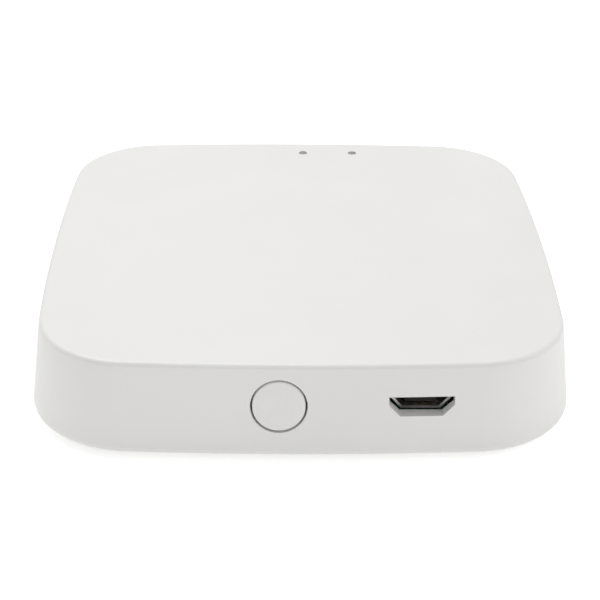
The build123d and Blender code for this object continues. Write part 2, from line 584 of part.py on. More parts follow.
with BuildPart() as light_blocker:
    with BuildSketch(Plane.XY.offset(BOARD_TOP + SEATING)):
        with Locations((LED_PITCH_CENTRE[0], LED_PITCH_CENTRE[1] - 0.1)):
            Rectangle(*FOAM_SIZE)
        with Locations(*LED_SPOTS.values()):
            Circle(WELL_RADIUS, mode=Mode.SUBTRACT)
    extrude(amount=FOAM_TOP - BOARD_TOP - SEATING)
light_blocker.part.label = "light_blocker"
export_step(light_blocker.part, "parts/light_blocker.step")


# === Radio modules: a small board with castellated edges, a shield can and an antenna =======================
MODULE_THICKNESS = 0.8
MODULE_FLOOR = BOARD_TOP + 0.03
RADIOS = {
    "wifi": {"centre": (-14.5, 7.0), "size": (16.0, 20.0), "can": (12.8, 12.4, 2.3), "can_shift": -2.8},
    "mesh": {"centre": (13.6, 1.5), "size": (14.0, 17.0), "can": (11.0, 10.4, 1.9), "can_shift": -2.4},
}


def shield_can(length, width, height, sheet=0.2):
    """Five-sided pressed steel can, open below, with rounded vertical corners and rounded top edges."""
    with BuildPart() as can:
        with BuildSketch():
            RectangleRounded(length, width, 0.6)
        extrude(amount=height)
        fillet(can.faces().sort_by(Axis.Z)[-1].edges(), 0.3)
        with BuildSketch():
            RectangleRounded(length - 2 * sheet, width - 2 * sheet, 0.4)
        extrude(amount=height - sheet, mode=Mode.SUBTRACT)
    return can.part


def meander(length, depth, folds, track, thickness):
    """Copper antenna track: a square-wave line of equal folds, starting at the origin and running along X."""
    pitch = length / folds
    with BuildPart() as antenna:
        with BuildSketch():
            for fold in range(folds):
                x = fold * pitch
                edge = depth / 2 if fold % 2 == 0 else -depth / 2
                with Locations((x, 0)):
                    Rectangle(track, depth + track)
                with Locations((x + pitch / 2, edge)):
                    Rectangle(pitch + track, track)
            with Locations((length, 0)):
                Rectangle(track, depth + track)
        extrude(amount=thickness)
    return antenna.part


EDGE_PITCH, EDGE_START, EDGE_RADIUS = 1.6, 2.0, 0.4  # half-round plated notches along a module's sides
KEEP_OUT = 7.0  # length of a module's sides that has no notches, beside its antenna
ANTENNA = {"depth": 2.6, "folds": 7, "track": 0.5, "thickness": 0.08, "margin": 4.5}

for radio, spec in RADIOS.items():
    (centre_x, centre_y), (size_x, size_y) = spec["centre"], spec["size"]
    module_top = MODULE_FLOOR + MODULE_THICKNESS
    edge_spots = [
        (centre_x + side * size_x / 2, centre_y - size_y / 2 + EDGE_START + EDGE_PITCH * index)
        for side in (-1, 1)
        for index in range(int((size_y - KEEP_OUT) / EDGE_PITCH))
    ]
    with BuildPart() as module_board:
        with BuildSketch(Plane.XY.offset(MODULE_FLOOR)):
            with Locations((centre_x, centre_y)):
                Rectangle(size_x, size_y)
            with Locations(*edge_spots):
                Circle(EDGE_RADIUS, mode=Mode.SUBTRACT)
        extrude(amount=MODULE_THICKNESS)
    module_board.part.label = f"{radio}_module_board"
    export_step(module_board.part, f"parts/{radio}_module_board.step")

    with BuildPart() as solder_joints:
        with BuildSketch(Plane.XY.offset(BOARD_TOP + 0.01)):
            with Locations(*edge_spots):
                Circle(EDGE_RADIUS - 0.04)
        extrude(amount=MODULE_THICKNESS, taper=12)
    solder_joints.part.label = f"{radio}_solder_joints"
    export_step(solder_joints.part, f"parts/{radio}_solder_joints.step")

    can_solid = shield_can(*spec["can"])
    with BuildPart() as radio_can:
        with Locations((centre_x, centre_y + spec["can_shift"], module_top + SEATING)):
            add(can_solid)
    radio_can.part.label = f"{radio}_shield_can"
    export_step(radio_can.part, f"parts/{radio}_shield_can.step")

    span = size_x - ANTENNA["margin"]
    antenna_solid = meander(span, ANTENNA["depth"], ANTENNA["folds"], ANTENNA["track"], ANTENNA["thickness"])
    with BuildPart() as radio_antenna:
        with Locations((centre_x - span / 2, centre_y + size_y / 2 - ANTENNA["depth"], module_top + 0.01)):
            add(antenna_solid)
    radio_antenna.part.label = f"{radio}_antenna"
    export_step(radio_antenna.part, f"parts/{radio}_antenna.step")


# === Power supply and other parts on the board ==============================================================
def leaded_chip(length, width, height, rows, pitch):
    """Moulded chip with a gull-wing lead at each step of pitch along both long sides, its leads on z = 0."""
    with BuildPart() as chip:
        with BuildSketch(Plane.XY.offset(0.1)):
            Rectangle(length, width)
        extrude(amount=height - 0.1)
        chamfer(chip.faces().sort_by(Axis.Z)[-1].edges(), 0.15)
        with BuildSketch(Plane.XY.offset(height * 0.45)):
            with GridLocations(pitch, width + 0.3, rows, 2):
                Rectangle(pitch * 0.4, 0.55)
        extrude(amount=0.15)
        with BuildSketch():
            with GridLocations(pitch, width + 0.6, rows, 2):
                Rectangle(pitch * 0.4, 0.15)
        extrude(amount=height * 0.45 + 0.15)
        with BuildSketch():
            with GridLocations(pitch, width + 1.0, rows, 2):
                Rectangle(pitch * 0.4, 0.6)
        extrude(amount=0.15)
    return chip.part


def end_cap_block(length, width, height, end):
    """Moulded block with a plated wrap of length end at each end, 0.04 proud of the moulding."""
    with BuildPart() as block:
        with BuildSketch(Plane.XY.offset(0.04)):
            Rectangle(length - 0.1, width - 0.08)
        extrude(amount=height - 0.08)
        with BuildSketch():
            with GridLocations(length - end, 0, 2, 1):
                Rectangle(end, width)
        extrude(amount=height)
    return block.part


BLOCKS = {
    "buck_regulator": (leaded_chip(2.9, 1.6, 1.1, 3, 0.95), [(16.2, -14.0)]),
    "flash_memory": (leaded_chip(5.2, 5.3, 1.8, 4, 1.27), [(-0.6, 8.0)]),
    "esd_diode": (leaded_chip(2.2, 1.3, 1.0, 3, 0.65), [(8.6, -21.6)]),
    "resettable_fuse": (end_cap_block(3.2, 1.7, 0.9, 0.6), [(18.3, -20.3)]),
    "input_capacitor": (end_cap_block(3.5, 2.8, 1.9, 0.5), [(13.4, -20.2)]),
    "output_capacitor": (end_cap_block(3.5, 2.8, 1.9, 0.5), [(5.6, -14.6)]),
    "crystal": (end_cap_block(3.2, 2.5, 0.8, 0.4), [(-1.2, 0.8)]),
    "ceramic_capacitors": (
        end_cap_block(1.6, 0.8, 0.8, 0.35),
        [(x, y) for x in (-11.0, -7.4, -3.8) for y in (-9.0, -11.2)]
        + [(x, -18.0) for x in (12.0, 15.4, 18.8)]
        + [(x, 22.6) for x in (-14.4, -11.4, 13.4, 16.4)],
    ),
    "chip_resistors": (
        end_cap_block(1.6, 0.8, 0.5, 0.3),
        [(x, y) for x in (0.4, 3.6) for y in (-4.2, -6.2, -8.2)]
        + [(x, -17.6) for x in (-8.0, -4.8, -1.6)]
        + [(x, 24.9) for x in (-14.4, -11.4, 0.9, 8.2)],
    ),
}
for block_name, (block_solid, spots) in BLOCKS.items():
    with BuildPart() as board_block:
        with Locations(*[(x, y, BOARD_TOP + SEATING) for x, y in spots]):
            add(block_solid)
    board_block.part.label = block_name
    export_step(board_block.part, f"parts/{block_name}.step")

INDUCTOR_SPOT, INDUCTOR_SIZE, INDUCTOR_CORNER = (10.6, -14.2), 4.0, 0.7
FLANGE_THICKNESS, WAIST_RADIUS, UPPER_FLANGE = 0.5, 1.75, 1.4

with BuildPart() as power_inductor:
    # ferrite drum between two square flanges, with the wound coil as its waist
    for flange_floor in (SEATING, UPPER_FLANGE):
        with BuildSketch(Plane.XY.offset(BOARD_TOP + flange_floor)):
            with Locations(INDUCTOR_SPOT):
                RectangleRounded(INDUCTOR_SIZE, INDUCTOR_SIZE, INDUCTOR_CORNER)
        extrude(amount=FLANGE_THICKNESS)
    with BuildSketch(Plane.XY.offset(BOARD_TOP + FLANGE_THICKNESS)):
        with Locations(INDUCTOR_SPOT):
            Circle(WAIST_RADIUS)
    extrude(amount=UPPER_FLANGE + JOIN - FLANGE_THICKNESS)
power_inductor.part.label = "power_inductor"
export_step(power_inductor.part, "parts/power_inductor.step")

PAD_SPOT, TEST_PAD_RADIUS, TEST_PAD_THICKNESS = (-5.0, 23.8), 0.6, 0.05

with BuildPart() as test_pads:
    with BuildSketch(Plane.XY.offset(BOARD_TOP + 0.005)):
        with Locations(PAD_SPOT):
            with GridLocations(2.0, 2.2, 4, 2):
                Circle(TEST_PAD_RADIUS)
    extrude(amount=TEST_PAD_THICKNESS)
test_pads.part.label = "test_pads"
export_step(test_pads.part, "parts/test_pads.step")
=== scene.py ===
import json
from math import cos, radians, sin

import bpy
import numpy as np
from mathutils import Matrix, Vector


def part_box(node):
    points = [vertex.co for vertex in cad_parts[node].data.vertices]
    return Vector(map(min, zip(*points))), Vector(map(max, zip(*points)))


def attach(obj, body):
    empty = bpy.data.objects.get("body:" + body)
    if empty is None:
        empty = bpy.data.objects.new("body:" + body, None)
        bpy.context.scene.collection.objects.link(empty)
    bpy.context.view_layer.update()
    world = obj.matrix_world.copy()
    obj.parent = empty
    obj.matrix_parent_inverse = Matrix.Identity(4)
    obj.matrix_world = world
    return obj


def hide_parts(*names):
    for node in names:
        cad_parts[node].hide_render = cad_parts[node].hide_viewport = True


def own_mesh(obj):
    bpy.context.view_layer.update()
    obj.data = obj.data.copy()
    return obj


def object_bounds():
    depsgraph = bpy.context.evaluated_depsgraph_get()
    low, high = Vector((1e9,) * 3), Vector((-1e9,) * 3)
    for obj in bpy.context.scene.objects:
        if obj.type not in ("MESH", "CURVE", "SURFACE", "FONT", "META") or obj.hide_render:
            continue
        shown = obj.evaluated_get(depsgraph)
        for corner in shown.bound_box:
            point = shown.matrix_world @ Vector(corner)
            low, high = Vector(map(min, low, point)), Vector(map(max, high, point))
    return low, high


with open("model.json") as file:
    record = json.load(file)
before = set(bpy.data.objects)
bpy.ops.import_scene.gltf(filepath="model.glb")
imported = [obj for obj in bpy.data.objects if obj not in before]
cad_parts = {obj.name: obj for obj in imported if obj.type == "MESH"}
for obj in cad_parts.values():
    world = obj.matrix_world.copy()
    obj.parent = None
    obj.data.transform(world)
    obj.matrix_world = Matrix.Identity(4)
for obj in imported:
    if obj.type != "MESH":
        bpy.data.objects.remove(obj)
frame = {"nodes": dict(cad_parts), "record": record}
cad_low, cad_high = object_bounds()
nodes = frame["nodes"]
MM = 0.001
ROOF = cad_high.z  # height of the roof's outer face
BODY = "hub"  # the body that everything but the button and the switch's plunger rides on


# === Shader groups: effects that several finishes share =====================================================
def new_group(name, inputs, outputs):
    """Shader node group with the named inputs and outputs, each given as {name: kind or number}."""
    group = bpy.data.node_groups.new(name, "ShaderNodeTree")
    for label, default in inputs.items():
        kind = "NodeSocketVector" if default == "vector" else "NodeSocketFloat"
        socket = group.interface.new_socket(label, in_out="INPUT", socket_type=kind)
        if default != "vector":
            socket.default_value = default
    for label in outputs:
        group.interface.new_socket(label, in_out="OUTPUT", socket_type="NodeSocketFloat")
    return group, group.nodes.new("NodeGroupInput"), group.nodes.new("NodeGroupOutput")


def add_node(tree, kind, settings=None, **inputs):
    """New node in a tree. Its inputs are numbers or other nodes' outputs, each named with _ for a space."""
    made = tree.nodes.new(kind)
    for key, value in (settings or {}).items():
        setattr(made, key, value)
    for key, value in inputs.items():
        numbered = key[0] == "i" and key[1:].isdigit()
        socket = made.inputs[int(key[1:]) if numbered else key.replace("_", " ")]
        if isinstance(value, bpy.types.NodeSocket):
            tree.links.new(value, socket)
        else:
            socket.default_value = value
    return made


def sums(tree, operation, a, b, clamp=False):
    """Output of a Math node on two numbers or sockets."""
    return add_node(tree, "ShaderNodeMath", {"operation": operation, "use_clamp": clamp}, i0=a, i1=b).outputs[0]


def spread(tree, value, low, high, to_low=0.0, to_high=1.0):
    """Value carried from the range low..high to another range, held inside it."""
    made = add_node(tree, "ShaderNodeMapRange", {"clamp": True}, Value=value)
    made.inputs["From Min"].default_value = low
    made.inputs["From Max"].default_value = high
    made.inputs["To Min"].default_value = to_low
    made.inputs["To Max"].default_value = to_high
    return made.outputs["Result"]


def make_moulded_grain():
    """Spark-eroded mould texture: fine cells over finer noise, with faint drifts of tone and gloss."""
    inputs = {"Place": "vector", "Grain per mm": 7.0}
    group, given, out = new_group("moulded_grain", inputs, ["Height", "Drift"])
    place, rate = given.outputs["Place"], given.outputs["Grain per mm"]
    soft = {"feature": "SMOOTH_F1"}
    cells = add_node(group, "ShaderNodeTexVoronoi", soft, Vector=place, Scale=rate, Smoothness=0.8)
    finer = sums(group, "MULTIPLY", rate, 2.3)
    fine = add_node(group, "ShaderNodeTexNoise", None, Vector=place, Scale=finer, Detail=3.0, Roughness=0.6)
    drift = add_node(group, "ShaderNodeTexNoise", None, Vector=place, Scale=0.055, Detail=2.0)
    height = sums(group, "ADD", sums(group, "MULTIPLY", cells.outputs["Distance"], 0.7), fine.outputs[0])
    group.links.new(height, out.inputs["Height"])
    group.links.new(spread(group, drift.outputs[0], 0.3, 0.7), out.inputs["Drift"])
    return group


def make_handling():
    """Faint marks of handling: soft cloudy patches broken by short fine scuffs."""
    group, given, out = new_group("handling", {"Place": "vector", "Patch per mm": 0.12}, ["Patches", "Scuffs"])
    cloud = add_node(group, "ShaderNodeTexNoise", None, Vector=given.outputs["Place"],
                     Scale=given.outputs["Patch per mm"], Detail=4.0, Roughness=0.55)
    stretched = add_node(group, "ShaderNodeMapping", None, Vector=given.outputs["Place"])
    stretched.inputs["Rotation"].default_value = (0.3, 0.2, 0.7)
    stretched.inputs["Scale"].default_value = (0.35, 4.0, 1.2)
    scuff = add_node(group, "ShaderNodeTexNoise", None, Vector=stretched.outputs[0], Scale=1.6, Detail=2.0)
    group.links.new(spread(group, cloud.outputs[0], 0.42, 0.68), out.inputs["Patches"])
    group.links.new(spread(group, scuff.outputs[0], 0.66, 0.74), out.inputs["Scuffs"])
    return group


def make_dust():
    """Dust that has settled on faces that look up, thinner where the surface leans."""
    group, given, out = new_group("dust", {"Place": "vector"}, ["Mask"])
    facing = add_node(group, "ShaderNodeNewGeometry")
    upward = add_node(group, "ShaderNodeSeparateXYZ", None, Vector=facing.outputs["Normal"])
    specks = add_node(group, "ShaderNodeTexNoise", None, Vector=given.outputs["Place"], Scale=2.4, Detail=5.0,
                      Roughness=0.7)
    level = spread(group, upward.outputs["Z"], 0.6, 1.0)
    mask = sums(group, "MULTIPLY", level, spread(group, specks.outputs[0], 0.55, 0.75))
    group.links.new(mask, out.inputs["Mask"])
    return group


def make_drawn_lines():
    """Lines that rolling or drawing leaves on sheet metal: noise stretched sixty times along X."""
    group, given, out = new_group("drawn_lines", {"Place": "vector", "Lines per mm": 9.0}, ["Height", "Sheen"])
    along = add_node(group, "ShaderNodeMapping", None, Vector=given.outputs["Place"])
    along.inputs["Scale"].default_value = (0.016, 1.0, 1.0)
    lines = add_node(group, "ShaderNodeTexNoise", None, Vector=along.outputs[0],
                     Scale=given.outputs["Lines per mm"], Detail=4.0, Roughness=0.65)
    stain = add_node(group, "ShaderNodeTexNoise", None, Vector=given.outputs["Place"], Scale=0.5, Detail=3.0)
    group.links.new(lines.outputs[0], out.inputs["Height"])
    group.links.new(spread(group, stain.outputs[0], 0.35, 0.65), out.inputs["Sheen"])
    return group


def make_cloth_of_glass():
    """Woven glass cloth of circuit laminate: two crossed sets of waves, 0.45 mm apart."""
    inputs = {"Place": "vector", "Threads per mm": 2.2}
    group, given, out = new_group("cloth_of_glass", inputs, ["Height", "Cross"])
    rate = sums(group, "MULTIPLY", given.outputs["Threads per mm"], 0.5)
    warp, weft = (add_node(group, "ShaderNodeTexWave", {"bands_direction": direction},
                           Vector=given.outputs["Place"], Scale=rate, Distortion=0.4).outputs["Fac"]
                  for direction in "XY")
    group.links.new(sums(group, "MAXIMUM", warp, weft), out.inputs["Height"])
    group.links.new(sums(group, "MULTIPLY", warp, weft), out.inputs["Cross"])
    return group


GROUPS = {
    "grain": make_moulded_grain(),
    "handling": make_handling(),
    "dust": make_dust(),
    "drawn": make_drawn_lines(),
    "weave": make_cloth_of_glass(),
}


# === Finishes ===============================================================================================
class Finish:
    """One material: a Principled shader, and the object's own coordinates counted in millimetres."""

    def __init__(self, name, colour, roughness, **constants):
        self.material = bpy.data.materials.new(name)
        self.material.use_nodes = True
        self.tree = self.material.node_tree
        self.shader = self.tree.nodes["Principled BSDF"]
        self.shader.inputs["Base Color"].default_value = (*colour, 1)
        self.shader.inputs["Roughness"].default_value = roughness
        for key, value in constants.items():
            self.shader.inputs[key.replace("_", " ")].default_value = value
        source = self.tree.nodes.new("ShaderNodeTexCoord")
        scaled = add_node(self.tree, "ShaderNodeMapping", None, Vector=source.outputs["Object"])
        scaled.inputs["Scale"].default_value = (1 / MM, 1 / MM, 1 / MM)
        self.place = scaled.outputs[0]

    def use(self, group, **inputs):
        """Places a shared group and returns its outputs."""
        made = self.tree.nodes.new("ShaderNodeGroup")
        made.node_tree = GROUPS[group]
        self.tree.links.new(self.place, made.inputs["Place"])
        for key, value in inputs.items():
            made.inputs[key.replace("_", " ")].default_value = value
        return made.outputs

    def tint(self, mask, first, second, under=None):
        """Colour that goes from first to second with a mask, or from an earlier colour to second."""
        mix = self.tree.nodes.new("ShaderNodeMix")
        mix.data_type = "RGBA"
        self.tree.links.new(mask, mix.inputs["Factor"])
        if under is None:
            mix.inputs["A"].default_value = (*first, 1)
        else:
            self.tree.links.new(under, mix.inputs["A"])
        mix.inputs["B"].default_value = (*second, 1)
        return mix.outputs["Result"]

    def paint(self, colour):
        self.tree.links.new(colour, self.shader.inputs["Base Color"])

    def gloss(self, mask, low, high):
        """Roughness that goes from low to high with a mask."""
        self.tree.links.new(spread(self.tree, mask, 0, 1, low, high), self.shader.inputs["Roughness"])

    def emboss(self, height, depth):
        """Bump of the given depth in millimetres."""
        bump = add_node(self.tree, "ShaderNodeBump", None, Height=height)
        bump.inputs["Strength"].default_value = 1.0
        bump.inputs["Distance"].default_value = depth * MM
        self.tree.links.new(bump.outputs[0], self.shader.inputs["Normal"])


def moulded_white(name, colour, shade, roughness=0.46):
    """White moulded plastic with a fine eroded grain, faint drifts of tone and a few scuffs."""
    made = Finish(name, colour, roughness, IOR=1.5, Subsurface_Weight=0.0)
    grain = made.use("grain", Grain_per_mm=5.5)
    marks = made.use("handling", Patch_per_mm=0.09)
    made.paint(made.tint(grain["Drift"], colour, shade))
    made.gloss(marks["Patches"], roughness - 0.05, roughness + 0.06)
    made.emboss(grain["Height"], 0.006)
    return made.material


def moulded_dark(name, colour, shade, roughness, grain_per_mm=6.0, depth=0.012):
    """Dark moulded plastic, rubber or epoxy: grain, drifts of tone and a film of dust on top."""
    made = Finish(name, colour, roughness)
    grain = made.use("grain", Grain_per_mm=grain_per_mm)
    dust = made.use("dust")
    toned = made.tint(grain["Drift"], colour, shade)
    film = sums(made.tree, "MULTIPLY", dust["Mask"], 0.25)
    made.paint(made.tint(film, None, (0.35, 0.34, 0.32), under=toned))
    made.gloss(grain["Drift"], roughness, roughness + 0.12)
    made.emboss(grain["Height"], depth)
    return made.material


def sheet_metal(name, colour, shade, roughness, lines_per_mm=9.0, depth=0.0015):
    """Plated or rolled sheet metal with drawn lines and faint stains."""
    made = Finish(name, colour, roughness, Metallic=1.0)
    lines = made.use("drawn", Lines_per_mm=lines_per_mm)
    marks = made.use("handling", Patch_per_mm=0.4)
    made.paint(made.tint(lines["Sheen"], colour, shade))
    made.gloss(marks["Patches"], roughness, roughness + 0.14)
    made.emboss(lines["Height"], depth)
    return made.material


def solder_mask(name, colour, copper):
    """Solder mask over copper planes and woven laminate: glossy, lighter where copper lies under it. The planes
    are cells of a Voronoi pattern about 9 mm wide, parted by narrow gaps."""
    made = Finish(name, colour, 0.28, Coat_Weight=0.35, Coat_Roughness=0.12)
    weave = made.use("weave", Threads_per_mm=2.2)
    flat_cells = {"feature": "DISTANCE_TO_EDGE", "voronoi_dimensions": "2D"}
    plane = add_node(made.tree, "ShaderNodeTexVoronoi", flat_cells, Vector=made.place, Scale=0.11)
    base = made.tint(spread(made.tree, plane.outputs["Distance"], 0.012, 0.016), colour, copper)
    made.paint(made.tint(sums(made.tree, "MULTIPLY", weave["Cross"], 0.3), None, colour, under=base))
    made.emboss(weave["Height"], 0.004)
    return made.material


def bright_gold():
    """Immersion gold over copper: satin, with small tarnished patches."""
    made = Finish("gilt_copper", (0.83, 0.58, 0.26), 0.28, Metallic=1.0)
    marks = made.use("handling", Patch_per_mm=0.6)
    grain = made.use("grain", Grain_per_mm=12.0)
    made.paint(made.tint(marks["Patches"], (0.83, 0.58, 0.26), (0.7, 0.43, 0.18)))
    made.gloss(marks["Scuffs"], 0.25, 0.5)
    made.emboss(grain["Height"], 0.002)
    return made.material


def enamelled_wire():
    """Copper wire under clear reddish enamel."""
    made = Finish("enamelled_wire", (0.6, 0.22, 0.08), 0.3, Metallic=1.0, Coat_Weight=0.6, Coat_Roughness=0.15)
    lines = made.use("drawn", Lines_per_mm=6.0)
    made.paint(made.tint(lines["Sheen"], (0.62, 0.24, 0.09), (0.5, 0.16, 0.06)))
    made.gloss(lines["Sheen"], 0.25, 0.4)
    return made.material


def milky_guide():
    """Milky acrylic that spreads light: half of it passes through, half scatters back."""
    made = Finish("clear_acrylic", (0.5, 0.5, 0.51), 0.3, IOR=1.49, Transmission_Weight=0.3)
    marks = made.use("handling", Patch_per_mm=0.5)
    made.gloss(marks["Patches"], 0.25, 0.4)
    made.emboss(marks["Patches"], 0.004)
    return made.material


def fired_ceramic(name, body, speckle, roughness):
    """Fired ceramic body of a chip part, faintly speckled."""
    made = Finish(name, body, roughness)
    grain = made.use("grain", Grain_per_mm=9.0)
    made.paint(made.tint(grain["Drift"], body, speckle))
    made.gloss(grain["Drift"], roughness, roughness + 0.15)
    made.emboss(grain["Height"], 0.01)
    return made.material


def label_film():
    """Blank satin label film, silver-grey, with a fine grain from its coating."""
    made = Finish("label_film", (0.66, 0.66, 0.655), 0.38, Coat_Weight=0.2, Coat_Roughness=0.3)
    lines = made.use("drawn", Lines_per_mm=5.0)
    marks = made.use("handling", Patch_per_mm=0.1)
    made.paint(made.tint(lines["Sheen"], (0.7, 0.7, 0.695), (0.62, 0.62, 0.615)))
    made.gloss(marks["Patches"], 0.32, 0.45)
    made.emboss(lines["Height"], 0.002)
    return made.material


def lamp_package():
    """White lamp housing with a yellow phosphor tint that grows towards its top."""
    made = Finish("lamp_package", (0.85, 0.83, 0.72), 0.3)
    grain = made.use("grain", Grain_per_mm=10.0)
    height = add_node(made.tree, "ShaderNodeSeparateXYZ", None, Vector=made.place)
    low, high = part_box("power_led")
    rise = spread(made.tree, height.outputs["Z"], (low.z / MM) + 0.3, high.z / MM)
    made.paint(made.tint(rise, (0.86, 0.85, 0.8), (0.9, 0.72, 0.2)))
    made.gloss(grain["Drift"], 0.2, 0.4)
    made.emboss(grain["Height"], 0.003)
    return made.material


FINISHES = {
    "casing_white": moulded_white("casing_white", (0.83, 0.823, 0.808), (0.815, 0.808, 0.792)),
    "button_white": moulded_white("button_white", (0.83, 0.823, 0.808), (0.81, 0.803, 0.787), 0.42),
    "foot_rubber": moulded_dark("foot_rubber", (0.05, 0.05, 0.052), (0.035, 0.035, 0.037), 0.7, 4.0, 0.03),
    "label_film": label_film(),
    "screw_steel": sheet_metal("screw_steel", (0.6, 0.6, 0.61), (0.45, 0.46, 0.5), 0.3),
    "circuit_board": solder_mask("circuit_board", (0.006, 0.085, 0.03), (0.012, 0.13, 0.045)),
    "module_board": solder_mask("module_board", (0.006, 0.02, 0.06), (0.012, 0.045, 0.12)),
    "tinned_steel": sheet_metal("tinned_steel", (0.72, 0.72, 0.7), (0.6, 0.6, 0.58), 0.32, 7.0, 0.003),
    "plated_steel": sheet_metal("plated_steel", (0.93, 0.92, 0.91), (0.84, 0.83, 0.82), 0.36, 12.0),
    "spring_steel": sheet_metal("spring_steel", (0.6, 0.58, 0.55), (0.5, 0.48, 0.45), 0.18, 15.0),
    "gilt_copper": bright_gold(),
    "solder": sheet_metal("solder", (0.75, 0.75, 0.76), (0.6, 0.61, 0.63), 0.22, 4.0, 0.006),
    "black_moulding": moulded_dark("black_moulding", (0.008, 0.008, 0.008), (0.013, 0.013, 0.013), 0.5),
    "lamp_package": lamp_package(),
    "clear_acrylic": milky_guide(),
    "black_foam": moulded_dark("black_foam", (0.015, 0.015, 0.016), (0.03, 0.03, 0.03), 0.9, 3.0, 0.12),
    "chip_epoxy": moulded_dark("chip_epoxy", (0.018, 0.018, 0.019), (0.028, 0.028, 0.029), 0.5, 8.0, 0.01),
    "fuse_green": moulded_dark("fuse_green", (0.03, 0.16, 0.06), (0.02, 0.12, 0.05), 0.4, 8.0, 0.008),
    "tantalum_yellow": moulded_dark("tantalum_yellow", (0.62, 0.36, 0.05), (0.55, 0.3, 0.04), 0.42, 8.0, 0.008),
    "capacitor_ceramic": fired_ceramic("capacitor_ceramic", (0.42, 0.29, 0.17), (0.36, 0.24, 0.14), 0.35),
    "resistor_ceramic": fired_ceramic("resistor_ceramic", (0.03, 0.03, 0.034), (0.05, 0.05, 0.055), 0.3),
    "track_mask": solder_mask("track_mask", (0.03, 0.24, 0.08), (0.045, 0.3, 0.11)),
    "white_ink": moulded_white("white_ink", (0.8, 0.8, 0.78), (0.7, 0.7, 0.68), 0.6),
    "grey_ink": moulded_white("grey_ink", (0.2, 0.2, 0.2), (0.25, 0.25, 0.25), 0.6),
    "enamelled_wire": enamelled_wire(),
    "ferrite": moulded_dark("ferrite", (0.05, 0.05, 0.055), (0.07, 0.07, 0.075), 0.55, 5.0, 0.03),
}


def dress_cad_nodes():
    """Every CAD node gets its slot's finish, and smooth shading that stays crisp at its edges."""
    slots = {entry["node"]: entry["material_slot"] for entry in frame["record"]["subparts"]}
    for name, piece in nodes.items():
        piece.data.materials.clear()
        piece.data.materials.append(FINISHES[slots[name]])
        piece.data.polygons.foreach_set("use_smooth", np.ones(len(piece.data.polygons), bool))
        piece.data.update()
        weld = piece.modifiers.new("join_triangles", "WELD")
        weld.merge_threshold = 2e-6
        split = piece.modifiers.new("crisp_edges", "EDGE_SPLIT")
        split.split_angle = radians(32)
        even = piece.modifiers.new("even_shading", "WEIGHTED_NORMAL")
        even.keep_sharp = True
        even.weight = 100


dress_cad_nodes()


# === Surfaces worked out with numpy =========================================================================
def quads(rows, columns, wrap_rows=False):
    """Corners of the quads of a grid of points, row by row. Each row closes on itself; the rows may too."""
    row = np.arange(rows if wrap_rows else rows - 1)[:, None]
    column = np.arange(columns)[None, :]
    next_row, next_column = (row + 1) % rows, (column + 1) % columns
    corners = (row * columns + column, row * columns + next_column,
               next_row * columns + next_column, next_row * columns + column)
    return np.stack(np.broadcast_arrays(*corners), -1).reshape(-1, 4)


class Heap:
    """Many small closed solids that become one piece."""

    def __init__(self):
        self.points, self.faces, self.count = [], [], 0

    def add(self, points, fours, threes=None):
        """Adds one solid. Its faces are turned over together if its volume comes out negative."""
        threes = np.zeros((0, 3), int) if threes is None else np.asarray(threes)
        halves = np.vstack([threes, fours[:, [0, 1, 2]], fours[:, [0, 2, 3]]])
        a, b, c = (points[halves[:, k]] for k in range(3))
        if np.einsum("ij,ij->i", a, np.cross(b, c)).sum() < 0:
            fours, threes = fours[:, ::-1], threes[:, ::-1]
        self.points.append(points)
        self.faces += (fours + self.count).tolist() + (threes + self.count).tolist()
        self.count += len(points)

    def piece(self, name, finish, slot, body=BODY, crisp=35):
        """The piece itself, with its finish, riding on its body."""
        mesh = bpy.data.meshes.new(name)
        mesh.from_pydata(np.vstack(self.points).tolist(), [], self.faces)
        mesh.polygons.foreach_set("use_smooth", np.ones(len(mesh.polygons), bool))
        mesh.set_sharp_from_angle(angle=radians(crisp))
        mesh.materials.append(finish)
        made = bpy.data.objects.new(name, mesh)
        bpy.context.scene.collection.objects.link(made)
        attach(made, body)
        return made


def ribbon(heap, path, width, low, high, closed=False):
    """Flat bar along a path in plan. Its section is a trapezoid from low to high, mitred at each bend:
    a point's shift across the path is the sum of both runs' normals times 2 over that sum's length squared."""
    path = np.asarray(path, float)
    ahead = np.roll(path, -1, 0) - path
    if not closed:
        ahead[-1] = ahead[-2]
    ahead /= np.linalg.norm(ahead, axis=1, keepdims=True)
    behind = np.roll(ahead, 1, 0)
    if not closed:
        behind[0] = ahead[0]
    across = np.stack([-(ahead + behind)[:, 1], (ahead + behind)[:, 0]], 1)
    across *= 2 / (across**2).sum(1, keepdims=True)
    side = np.array([-0.5, 0.5, 0.42, -0.42]) * width
    plan = path[:, None, :] + across[:, None, :] * side[None, :, None]
    rise = np.broadcast_to([low, low, high, high], (len(path), 4))[..., None]
    points = np.concatenate([plan, rise], -1).reshape(-1, 3)
    fours = quads(len(path), 4, closed)
    if not closed:
        last = 4 * (len(path) - 1)
        fours = np.vstack([fours, [3, 2, 1, 0], [last, last + 1, last + 2, last + 3]])
    heap.add(points, fours)


